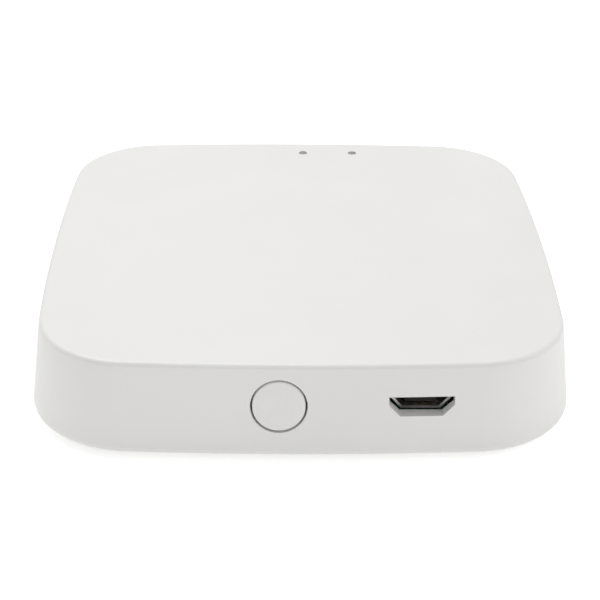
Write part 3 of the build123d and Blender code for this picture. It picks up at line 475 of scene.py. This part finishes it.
def turned(heap, centre, radii, heights, sides=20, ring=False, lying=False):
    """Solid of revolution about an upright axis: the point at angle a is (r cos a, r sin a, z). A solid's
    profile starts and ends on the axis; a ring's closes on itself. A lying solid's Y and Z change places."""
    angle = np.linspace(0, 2 * np.pi, sides, endpoint=False)
    radii, heights = np.asarray(radii, float), np.asarray(heights, float)
    inner = slice(None) if ring else slice(1, -1)
    r, z = radii[inner, None], heights[inner, None]
    grid = np.stack(np.broadcast_arrays(centre[0] + r * np.cos(angle), centre[1] + r * np.sin(angle), z), -1)
    order = [0, 2, 1] if lying else [0, 1, 2]
    points, fours = grid.reshape(-1, 3)[:, order], quads(len(r), sides, ring)
    if ring:
        heap.add(points, fours)
        return
    ends = [[centre[0], centre[1], heights[0]], [centre[0], centre[1], heights[-1]]]
    step, top = np.arange(sides), (len(r) - 1) * sides
    after = (step + 1) % sides
    base = np.column_stack([np.full(sides, len(points)), after, step])
    lid = np.column_stack([np.full(sides, len(points) + 1), top + step, top + after])
    heap.add(np.vstack([points, np.array(ends)[:, order]]), fours, np.vstack([base, lid]))


def wire(heap, path, radius, sides=8):
    """Round wire along a path in space, rounded off to a point at both ends. Each section lies in the plane of
    the sideways vector (the run crossed with Z) and that vector crossed with the run."""
    run = np.gradient(path, axis=0)
    run /= np.linalg.norm(run, axis=1, keepdims=True)
    sideways = np.cross(run, [0, 0, 1.0])
    sideways /= np.linalg.norm(sideways, axis=1, keepdims=True)
    over = np.cross(sideways, run)
    angle = np.linspace(0, 2 * np.pi, sides, endpoint=False)[None, :, None]
    grid = path[:, None] + radius * (np.cos(angle) * sideways[:, None] + np.sin(angle) * over[:, None])
    tips = np.stack([path[0] - run[0] * radius / 2, path[-1] + run[-1] * radius / 2])
    step, last, total = np.arange(sides), (len(path) - 1) * sides, len(path) * sides
    after = (step + 1) % sides
    start = np.column_stack([np.full(sides, total), after, step])
    end = np.column_stack([np.full(sides, total + 1), last + step, last + after])
    heap.add(np.vstack([grid.reshape(-1, 3), tips]), quads(len(path), sides), np.vstack([start, end]))


def solder_wedge(heap, foot, way, width, height, reach, steps=6):
    """Concave solder fillet at the foot of an end face. At angle a the section's edge is at
    reach (1 - sin a) outward and height (1 - cos a) up; the section is carried across the width."""
    angle = np.linspace(0, np.pi / 2, steps)
    out = np.concatenate([[0.0], reach * (1 - np.sin(angle))])
    up = np.concatenate([[0.0], height * (1 - np.cos(angle))])
    way = np.array([way[0], way[1], 0.0])
    across = np.array([-way[1], way[0], 0.0])
    section = np.asarray(foot) + out[:, None] * way + up[:, None] * np.array([0, 0, 1.0])
    points = np.concatenate([section - across * width / 2, section + across * width / 2])
    count = len(out)
    fan = np.column_stack([np.zeros(count - 2, int), np.arange(1, count - 1), np.arange(2, count)])
    heap.add(points, quads(2, count), np.vstack([fan[:, ::-1], fan + count]))


def rounded_block(heap, low, high, radius, rows=7, columns=12):
    """Box with round edges and corners. A unit direction d runs over the sphere, and the point is the middle
    plus the half size less the radius, signed as d is, plus the radius times d."""
    middle, half = (low + high) / 2, (high - low) / 2 - radius
    polar = np.linspace(0, np.pi, rows)[1:-1, None]
    turn = (np.arange(columns) + 0.5) * 2 * np.pi / columns
    way = np.broadcast_arrays(np.sin(polar) * np.cos(turn), np.sin(polar) * np.sin(turn), np.cos(polar))
    way = np.stack(way, -1)
    grid = middle + half * np.where(np.abs(way) > 1e-9, np.sign(way), 0) + radius * way
    poles = np.array([middle + [0, 0, half[2] + radius], middle - [0, 0, half[2] + radius]])
    points = np.vstack([grid.reshape(-1, 3), poles])
    step, last = np.arange(columns), (rows - 3) * columns
    after = (step + 1) % columns
    top = np.column_stack([np.full(columns, len(points) - 2), step, after])
    base = np.column_stack([np.full(columns, len(points) - 1), last + after, last + step])
    heap.add(points, quads(rows - 2, columns), np.vstack([top, base]))


def solids_of(node):
    """Boxes of a node's separate solids. Corners that share a place share a label, each triangle passes on its
    lowest label, and corners that end with the same label belong to one solid."""
    mesh = nodes[node].data
    place = np.zeros(len(mesh.vertices) * 3)
    mesh.vertices.foreach_get("co", place)
    spots, same = np.unique(place.reshape(-1, 3).round(6), axis=0, return_inverse=True)
    corner = np.zeros(len(mesh.loops), int)
    mesh.loops.foreach_get("vertex_index", corner)
    triangle = same.reshape(-1)[corner].reshape(-1, 3)
    label = np.arange(len(spots))
    while True:
        lowest = label[triangle].min(1)
        before = label.copy()
        for k in range(3):
            np.minimum.at(label, triangle[:, k], lowest)
        if (label == before).all():
            break
    groups = [spots[label == one] for one in np.unique(label)]
    return [(group.min(0), group.max(0)) for group in groups]


# === Details of the circuit board ===========================================================================
BOARD_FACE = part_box("main_board")[1].z
FILM = 0.015 * MM  # thickness of copper under the mask, and of ink
OUTLINE_MARGIN, OUTLINE_WIDTH, TICK_WIDTH = 0.55 * MM, 0.15 * MM, 0.12 * MM
BOARD_REAR = 29.2 * MM  # ink goes no further back than this
SOLDER_REACH, TOE_REACH, TOE_HEIGHT = 0.38 * MM, 0.28 * MM, 0.14 * MM
ENDED_PARTS = ["ceramic_capacitors", "chip_resistors", "resettable_fuse", "input_capacitor",
               "output_capacitor", "crystal"]
LEADED_PARTS = ["buck_regulator", "flash_memory", "esd_diode"]


def plan_box(node, margin=0.0):
    """Left, front, right and rear of a node, moved outward by a margin."""
    low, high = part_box(node)
    return low.x - margin, low.y - margin, high.x + margin, high.y + margin


def copper_tracks():
    """Tracks under the mask: each bus is a set of parallel lines that leave one part, turn twice through 45
    degrees, and reach another."""
    heap = Heap()

    def bus(start, end, lines, pitch, width, turn=0.5):
        """Lines from start to end. Each runs along Y, then slants across at 45 degrees, then along Y again."""
        (x0, y0), (x1, y1) = start, end
        slant = min(abs(x1 - x0), abs(y1 - y0)) * (1 if y1 > y0 else -1)
        middle = y0 + (y1 - y0 - slant) * turn
        for line in range(lines):
            shift = (line - (lines - 1) / 2) * pitch
            bend = -shift * 0.41 * (1 if (x1 > x0) == (y1 > y0) else -1)
            path = [(x0 + shift, y0), (x0 + shift, middle + bend),
                    (x1 + shift, middle + slant + bend), (x1 + shift, y1)]
            ribbon(heap, np.array(path) * MM, width * MM, BOARD_FACE - FILM / 4, BOARD_FACE + FILM)

    bus((-0.6, 12.2), (-9.5, 19.5), 6, 0.45, 0.18)
    bus((-0.6, 4.2), (-5.2, -3.5), 5, 0.45, 0.18)
    bus((3.9, -1.5), (5.0, 14.0), 4, 0.45, 0.18)
    bus((-2.8, -22.2), (-6.5, -12.5), 2, 0.6, 0.22)
    bus((13.7, -24.2), (9.6, -17.0), 2, 0.7, 0.3)
    bus((17.0, -23.6), (18.2, -16.6), 1, 1.0, 1.2)
    bus((4.4, 21.0), (4.6, 26.2), 4, 0.5, 0.18)
    bus((1.0, 14.5), (3.6, 21.0), 4, 0.5, 0.18)
    bus((-25.0, -8.0), (-25.6, 14.0), 5, 0.5, 0.18, 0.3)
    bus((-16.0, -21.5), (-13.0, -5.0), 6, 0.5, 0.18)
    bus((24.6, -6.0), (25.4, 12.0), 4, 0.5, 0.2, 0.6)
    bus((14.0, 12.6), (12.0, 21.5), 5, 0.5, 0.18)
    return heap.piece("board_tracks", FINISHES["track_mask"], "circuit_board")


def plated_holes():
    """Plated holes through the board: a ring of copper round each, in rows that follow the tracks."""
    heap = Heap()
    rows = [(-9.5, 20.3, 0.9, 6), (-7.0, -2.4, 0.9, 5), (1.2, 20.6, 0.9, 4), (-15.6, -22.6, 0.9, 6),
            (-26.4, -9.4, 0.9, 4), (23.4, 13.4, 0.9, 3), (11.6, 22.4, 0.9, 5), (5.0, -21.5, 1.0, 3),
            (21.6, -14.6, 1.0, 3), (-20.6, -6.4, 1.1, 4), (6.2, -10.6, 1.0, 5)]
    for x, y, pitch, count in rows:
        for k in range(count):
            turned(heap, ((x + k * pitch) * MM, y * MM), np.array([0.14, 0.3, 0.28, 0.16]) * MM,
                   BOARD_FACE + np.array([-0.25, -0.25, 1.2, 1.2]) * FILM, 14, ring=True)
    return heap.piece("plated_holes", FINISHES["gilt_copper"], "gilt_copper")


def printed_outlines():
    """Ink outline round each larger part, with a dot beside its first lead, and a line at each side of each
    small chip part."""
    heap = Heap()
    low, high = BOARD_FACE - FILM / 4, BOARD_FACE + FILM
    for node in LEADED_PARTS + ["power_inductor", "input_capacitor", "output_capacitor", "crystal",
                                "wifi_module_board", "mesh_module_board", "resettable_fuse", "light_blocker"]:
        left, front, right, rear = plan_box(node, OUTLINE_MARGIN)
        rear = min(rear, BOARD_REAR)
        corners = [(left, front), (right, front), (right, rear), (left, rear)]
        ribbon(heap, corners, OUTLINE_WIDTH, low, high, closed=True)
        turned(heap, (left - 0.45 * MM, rear - 0.3 * MM), np.array([0, 0.2, 0.18, 0]) * MM,
               [low, low, high, high], 12)
    for node in ("ceramic_capacitors", "chip_resistors"):
        for one_low, one_high in solids_of(node):
            for side in (one_low[1] - 0.3 * MM, one_high[1] + 0.3 * MM):
                line = [(one_low[0] + 0.4 * MM, side), (one_high[0] - 0.4 * MM, side)]
                ribbon(heap, line, TICK_WIDTH, low, high)
    return heap.piece("printed_outlines", FINISHES["white_ink"], "label_film")


def solder_fillets():
    """Solder at both ends of each chip part, and at the toe of each lead."""
    heap = Heap()
    for node in ENDED_PARTS:
        for low, high in solids_of(node):
            middle, width, tall = (low + high) / 2, (high[1] - low[1]) * 0.96, (high[2] - low[2]) * 0.55
            for x, way in ((low[0], -1), (high[0], 1)):
                solder_wedge(heap, (x, middle[1], BOARD_FACE), (way, 0), width, tall, SOLDER_REACH)
    for node, leads, pitch in (("buck_regulator", 3, 0.95), ("flash_memory", 4, 1.27), ("esd_diode", 3, 0.65)):
        low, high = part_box(node)
        for k in range(leads):
            x = (low.x + high.x) / 2 + (k - (leads - 1) / 2) * pitch * MM
            for y, way in ((low.y, -1), (high.y, 1)):
                solder_wedge(heap, (x, y, BOARD_FACE), (0, way), pitch * 0.42 * MM, TOE_HEIGHT, TOE_REACH)
    return heap.piece("solder_fillets", FINISHES["solder"], "solder")


def plated_ends():
    """Round-edged plated cap over each end of each chip part, a hair proud of the part."""
    heap = Heap()
    for node, length in (("ceramic_capacitors", 0.36), ("chip_resistors", 0.31), ("resettable_fuse", 0.61)):
        for low, high in solids_of(node):
            proud = 0.012 * MM
            for side in (0, 1):
                start, end = low - proud, high + proud
                if side == 0:
                    end[0] = low[0] + length * MM
                else:
                    start[0] = high[0] - length * MM
                rounded_block(heap, start, end, 0.07 * MM)
    return heap.piece("plated_ends", FINISHES["solder"], "solder", crisp=60)


def coil_winding():
    """Outer layer of enamelled wire on the inductor's waist: a helix whose point at angle a is
    (R cos a, R sin a, z rising evenly)."""
    low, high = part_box("power_inductor")
    turns, steps = 6, 30
    angle = np.linspace(0, 2 * np.pi * turns, turns * steps)
    radius, gauge = 1.84 * MM, 0.075 * MM
    height = np.linspace(low.z + 0.6 * MM, high.z - 0.6 * MM, len(angle))
    centre_x, centre_y = (low.x + high.x) / 2, (low.y + high.y) / 2
    path = np.stack([centre_x + radius * np.cos(angle), centre_y + radius * np.sin(angle), height], 1)
    heap = Heap()
    wire(heap, path, gauge)
    return heap.piece("coil_winding", FINISHES["enamelled_wire"], "gilt_copper", crisp=80)


def can_embossing():
    """Round step pressed up in the middle of each shield can: its edge is a quarter of a soft round."""
    heap = Heap()
    for can in ("wifi_shield_can", "mesh_shield_can"):
        low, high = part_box(can)
        reach, rise = (high.y - low.y) * 0.3, 0.1 * MM
        angle = np.linspace(0, np.pi / 2, 6)
        radii = np.concatenate([[0, reach + rise], reach + rise * np.cos(angle[1:]), [0]])
        heights = np.concatenate([[-rise / 4, -rise / 4], rise * np.sin(angle[1:]), [rise]]) + high.z
        turned(heap, ((low.x + high.x) / 2, (low.y + high.y) / 2), radii, heights, 48)
    return heap.piece("can_embossing", FINISHES["tinned_steel"], "tinned_steel", crisp=50)


def first_lead_marks():
    """Small round ink mark on the roof of each leaded chip, near its first lead."""
    heap = Heap()
    for node in LEADED_PARTS:
        low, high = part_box(node)
        inset = min(high.x - low.x, high.y - low.y) * 0.24
        turned(heap, (low.x + inset, low.y + inset + 0.6 * MM), np.array([0, 0.16, 0.15, 0]) * MM,
               high.z + np.array([-0.5, -0.5, 1, 1]) * FILM, 16)
    return heap.piece("first_lead_marks", FINISHES["white_ink"], "label_film")


def sprung_dome():
    """Pressed steel dome of the push switch, flattened by the plunger. At a radius r, as a share of the rim's,
    its front face is the rise times (1 - r squared) forward of the rim, less a shallow dimple in its middle
    whose depth falls as exp(-(r / 0.22) squared). The back face is one sheet's thickness behind."""
    low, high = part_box("switch_dome")
    sheet, dimple = 0.07 * MM, 0.03 * MM
    share = np.linspace(0, 1, 14)
    bulge = (high.y - low.y - sheet) * (1 - share**2) - dimple * np.exp(-((share / 0.22) ** 2))
    radii = np.concatenate([share, share[::-1]]) * (high.x - low.x) / 2
    faces = np.concatenate([high.y - sheet - bulge, (high.y - bulge)[::-1]])
    heap = Heap()
    turned(heap, ((low.x + high.x) / 2, (low.z + high.z) / 2), radii, faces, 40, lying=True)
    dome = heap.piece("sprung_dome", FINISHES["spring_steel"], "spring_steel", crisp=50)
    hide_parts("switch_dome")
    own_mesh(dome)


def label_border():
    """Thin printed border just inside the edge of the blank label: its path is a rectangle with quarter-round
    corners, each corner an arc about its own centre."""
    low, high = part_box("rating_label")
    inset, radius = 1.2 * MM, 0.8 * MM
    half_x, half_y = (high.x - low.x) / 2 - inset - radius, (high.y - low.y) / 2 - inset - radius
    quarter = np.linspace(0, np.pi / 2, 7)
    angle = np.concatenate([quarter + k * np.pi / 2 for k in range(4)])
    corner = np.repeat([[1, 1], [-1, 1], [-1, -1], [1, -1]], 7, axis=0) * [half_x, half_y]
    centre = [(low.x + high.x) / 2, (low.y + high.y) / 2]
    path = corner + centre + radius * np.stack([np.cos(angle), np.sin(angle)], 1)
    heap = Heap()
    ribbon(heap, path, 0.25 * MM, low.z - FILM / 2, low.z + FILM / 2, closed=True)
    return heap.piece("label_border", FINISHES["grey_ink"], "label_film")


copper_tracks()
plated_holes()
printed_outlines()
solder_fillets()
plated_ends()
coil_winding()
can_embossing()
first_lead_marks()
label_border()
sprung_dome()


# === Camera, floor and lights ===============================================================================
def place_camera():
    """Camera that looks down at the hub's front, turned a little about its own axis."""
    azimuth, elevation, roll = radians(-1.22), radians(28.99), radians(0.745)
    distance, aim = 205.05 * MM, Vector((0.19 * MM, 0, ROOF - 9.19 * MM))
    back = Vector((sin(azimuth) * cos(elevation), -cos(azimuth) * cos(elevation), sin(elevation)))
    level = Vector((cos(azimuth), sin(azimuth), 0))
    upright = back.cross(level)
    right = level * cos(roll) + upright * sin(roll)
    up = upright * cos(roll) - level * sin(roll)
    data = bpy.data.cameras.new("camera")
    data.sensor_width, data.lens = 36.0, 91.32
    data.clip_start, data.clip_end = 0.005, 20.0
    camera = bpy.data.objects.new("camera", data)
    bpy.context.scene.collection.objects.link(camera)
    turned_to = Matrix((right, up, back)).transposed().to_4x4()
    camera.matrix_world = Matrix.Translation(aim + back * distance) @ turned_to
    bpy.context.scene.camera = camera


def lay_floor():
    """Pale floor: a wide disc whose height is 0 everywhere, with a faint even glow. The glow is stronger where
    the floor is seen directly than where it only lights the hub, which keeps the hub's shadow light."""
    rings, spokes = np.array([0.4, 15.0]), 64
    turn = np.linspace(0, 2 * np.pi, spokes, endpoint=False)
    rim = np.stack([np.outer(rings, np.cos(turn)), np.outer(rings, np.sin(turn))], -1).reshape(-1, 2)
    points = np.vstack([[0, 0, 0], np.column_stack([rim, np.zeros(len(rim))])])
    step = np.arange(spokes)
    after = (step + 1) % spokes
    fan = [[0, 1 + a, 1 + b] for a, b in zip(step, after)]
    band = [[1 + a, 1 + spokes + a, 1 + spokes + b, 1 + b] for a, b in zip(step, after)]
    mesh = bpy.data.meshes.new("floor")
    mesh.from_pydata(points.tolist(), [], fan + band)
    floor = bpy.data.objects.new("floor", mesh)
    bpy.context.scene.collection.objects.link(floor)
    paper = bpy.data.materials.new("floor_paper")
    paper.use_nodes = True
    shader = paper.node_tree.nodes["Principled BSDF"]
    shader.inputs["Base Color"].default_value = (0.93, 0.93, 0.93, 1)
    shader.inputs["Roughness"].default_value = 0.9
    shader.inputs["Specular IOR Level"].default_value = 0.1
    shader.inputs["Emission Color"].default_value = (1, 1, 1, 1)
    seen = paper.node_tree.nodes.new("ShaderNodeLightPath")
    glow = spread(paper.node_tree, seen.outputs["Is Camera Ray"], 0, 1, 0.262, 0.46)
    paper.node_tree.links.new(glow, shader.inputs["Emission Strength"])
    mesh.materials.append(paper)


def hang_light(name, place, aim, size, power):
    """Square soft light at a place, turned to face a point."""
    data = bpy.data.lights.new(name, "AREA")
    data.size, data.energy = size, power
    light = bpy.data.objects.new(name, data)
    light.location = place
    light.rotation_euler = (Vector(aim) - Vector(place)).to_track_quat("-Z", "Y").to_euler()
    bpy.context.scene.collection.objects.link(light)


def light_the_room():
    """Even white room with a soft light high behind and one at the right. The room is a clean white where it is
    seen directly, and dimmer where it only lights the hub."""
    world = bpy.data.worlds.new("room")
    bpy.context.scene.world = world
    world.use_nodes = True
    background = world.node_tree.nodes["Background"]
    background.inputs["Color"].default_value = (1, 1, 1, 1)
    seen = world.node_tree.nodes.new("ShaderNodeLightPath")
    glow = spread(world.node_tree, seen.outputs["Is Camera Ray"], 0, 1, 0.542, 1.0)
    world.node_tree.links.new(glow, background.inputs["Strength"])
    hang_light("over_back", (-0.14, 0.29, 0.65), (0, 0, 0), 0.46, 2.7)
    hang_light("right_side", (0.7, -0.1, 0.35), (0, 0, 0), 0.5, 0.94)
    view = bpy.context.scene.view_settings
    view.view_transform = "Standard"
    view.look = "None"


place_camera()
lay_floor()
light_the_room()
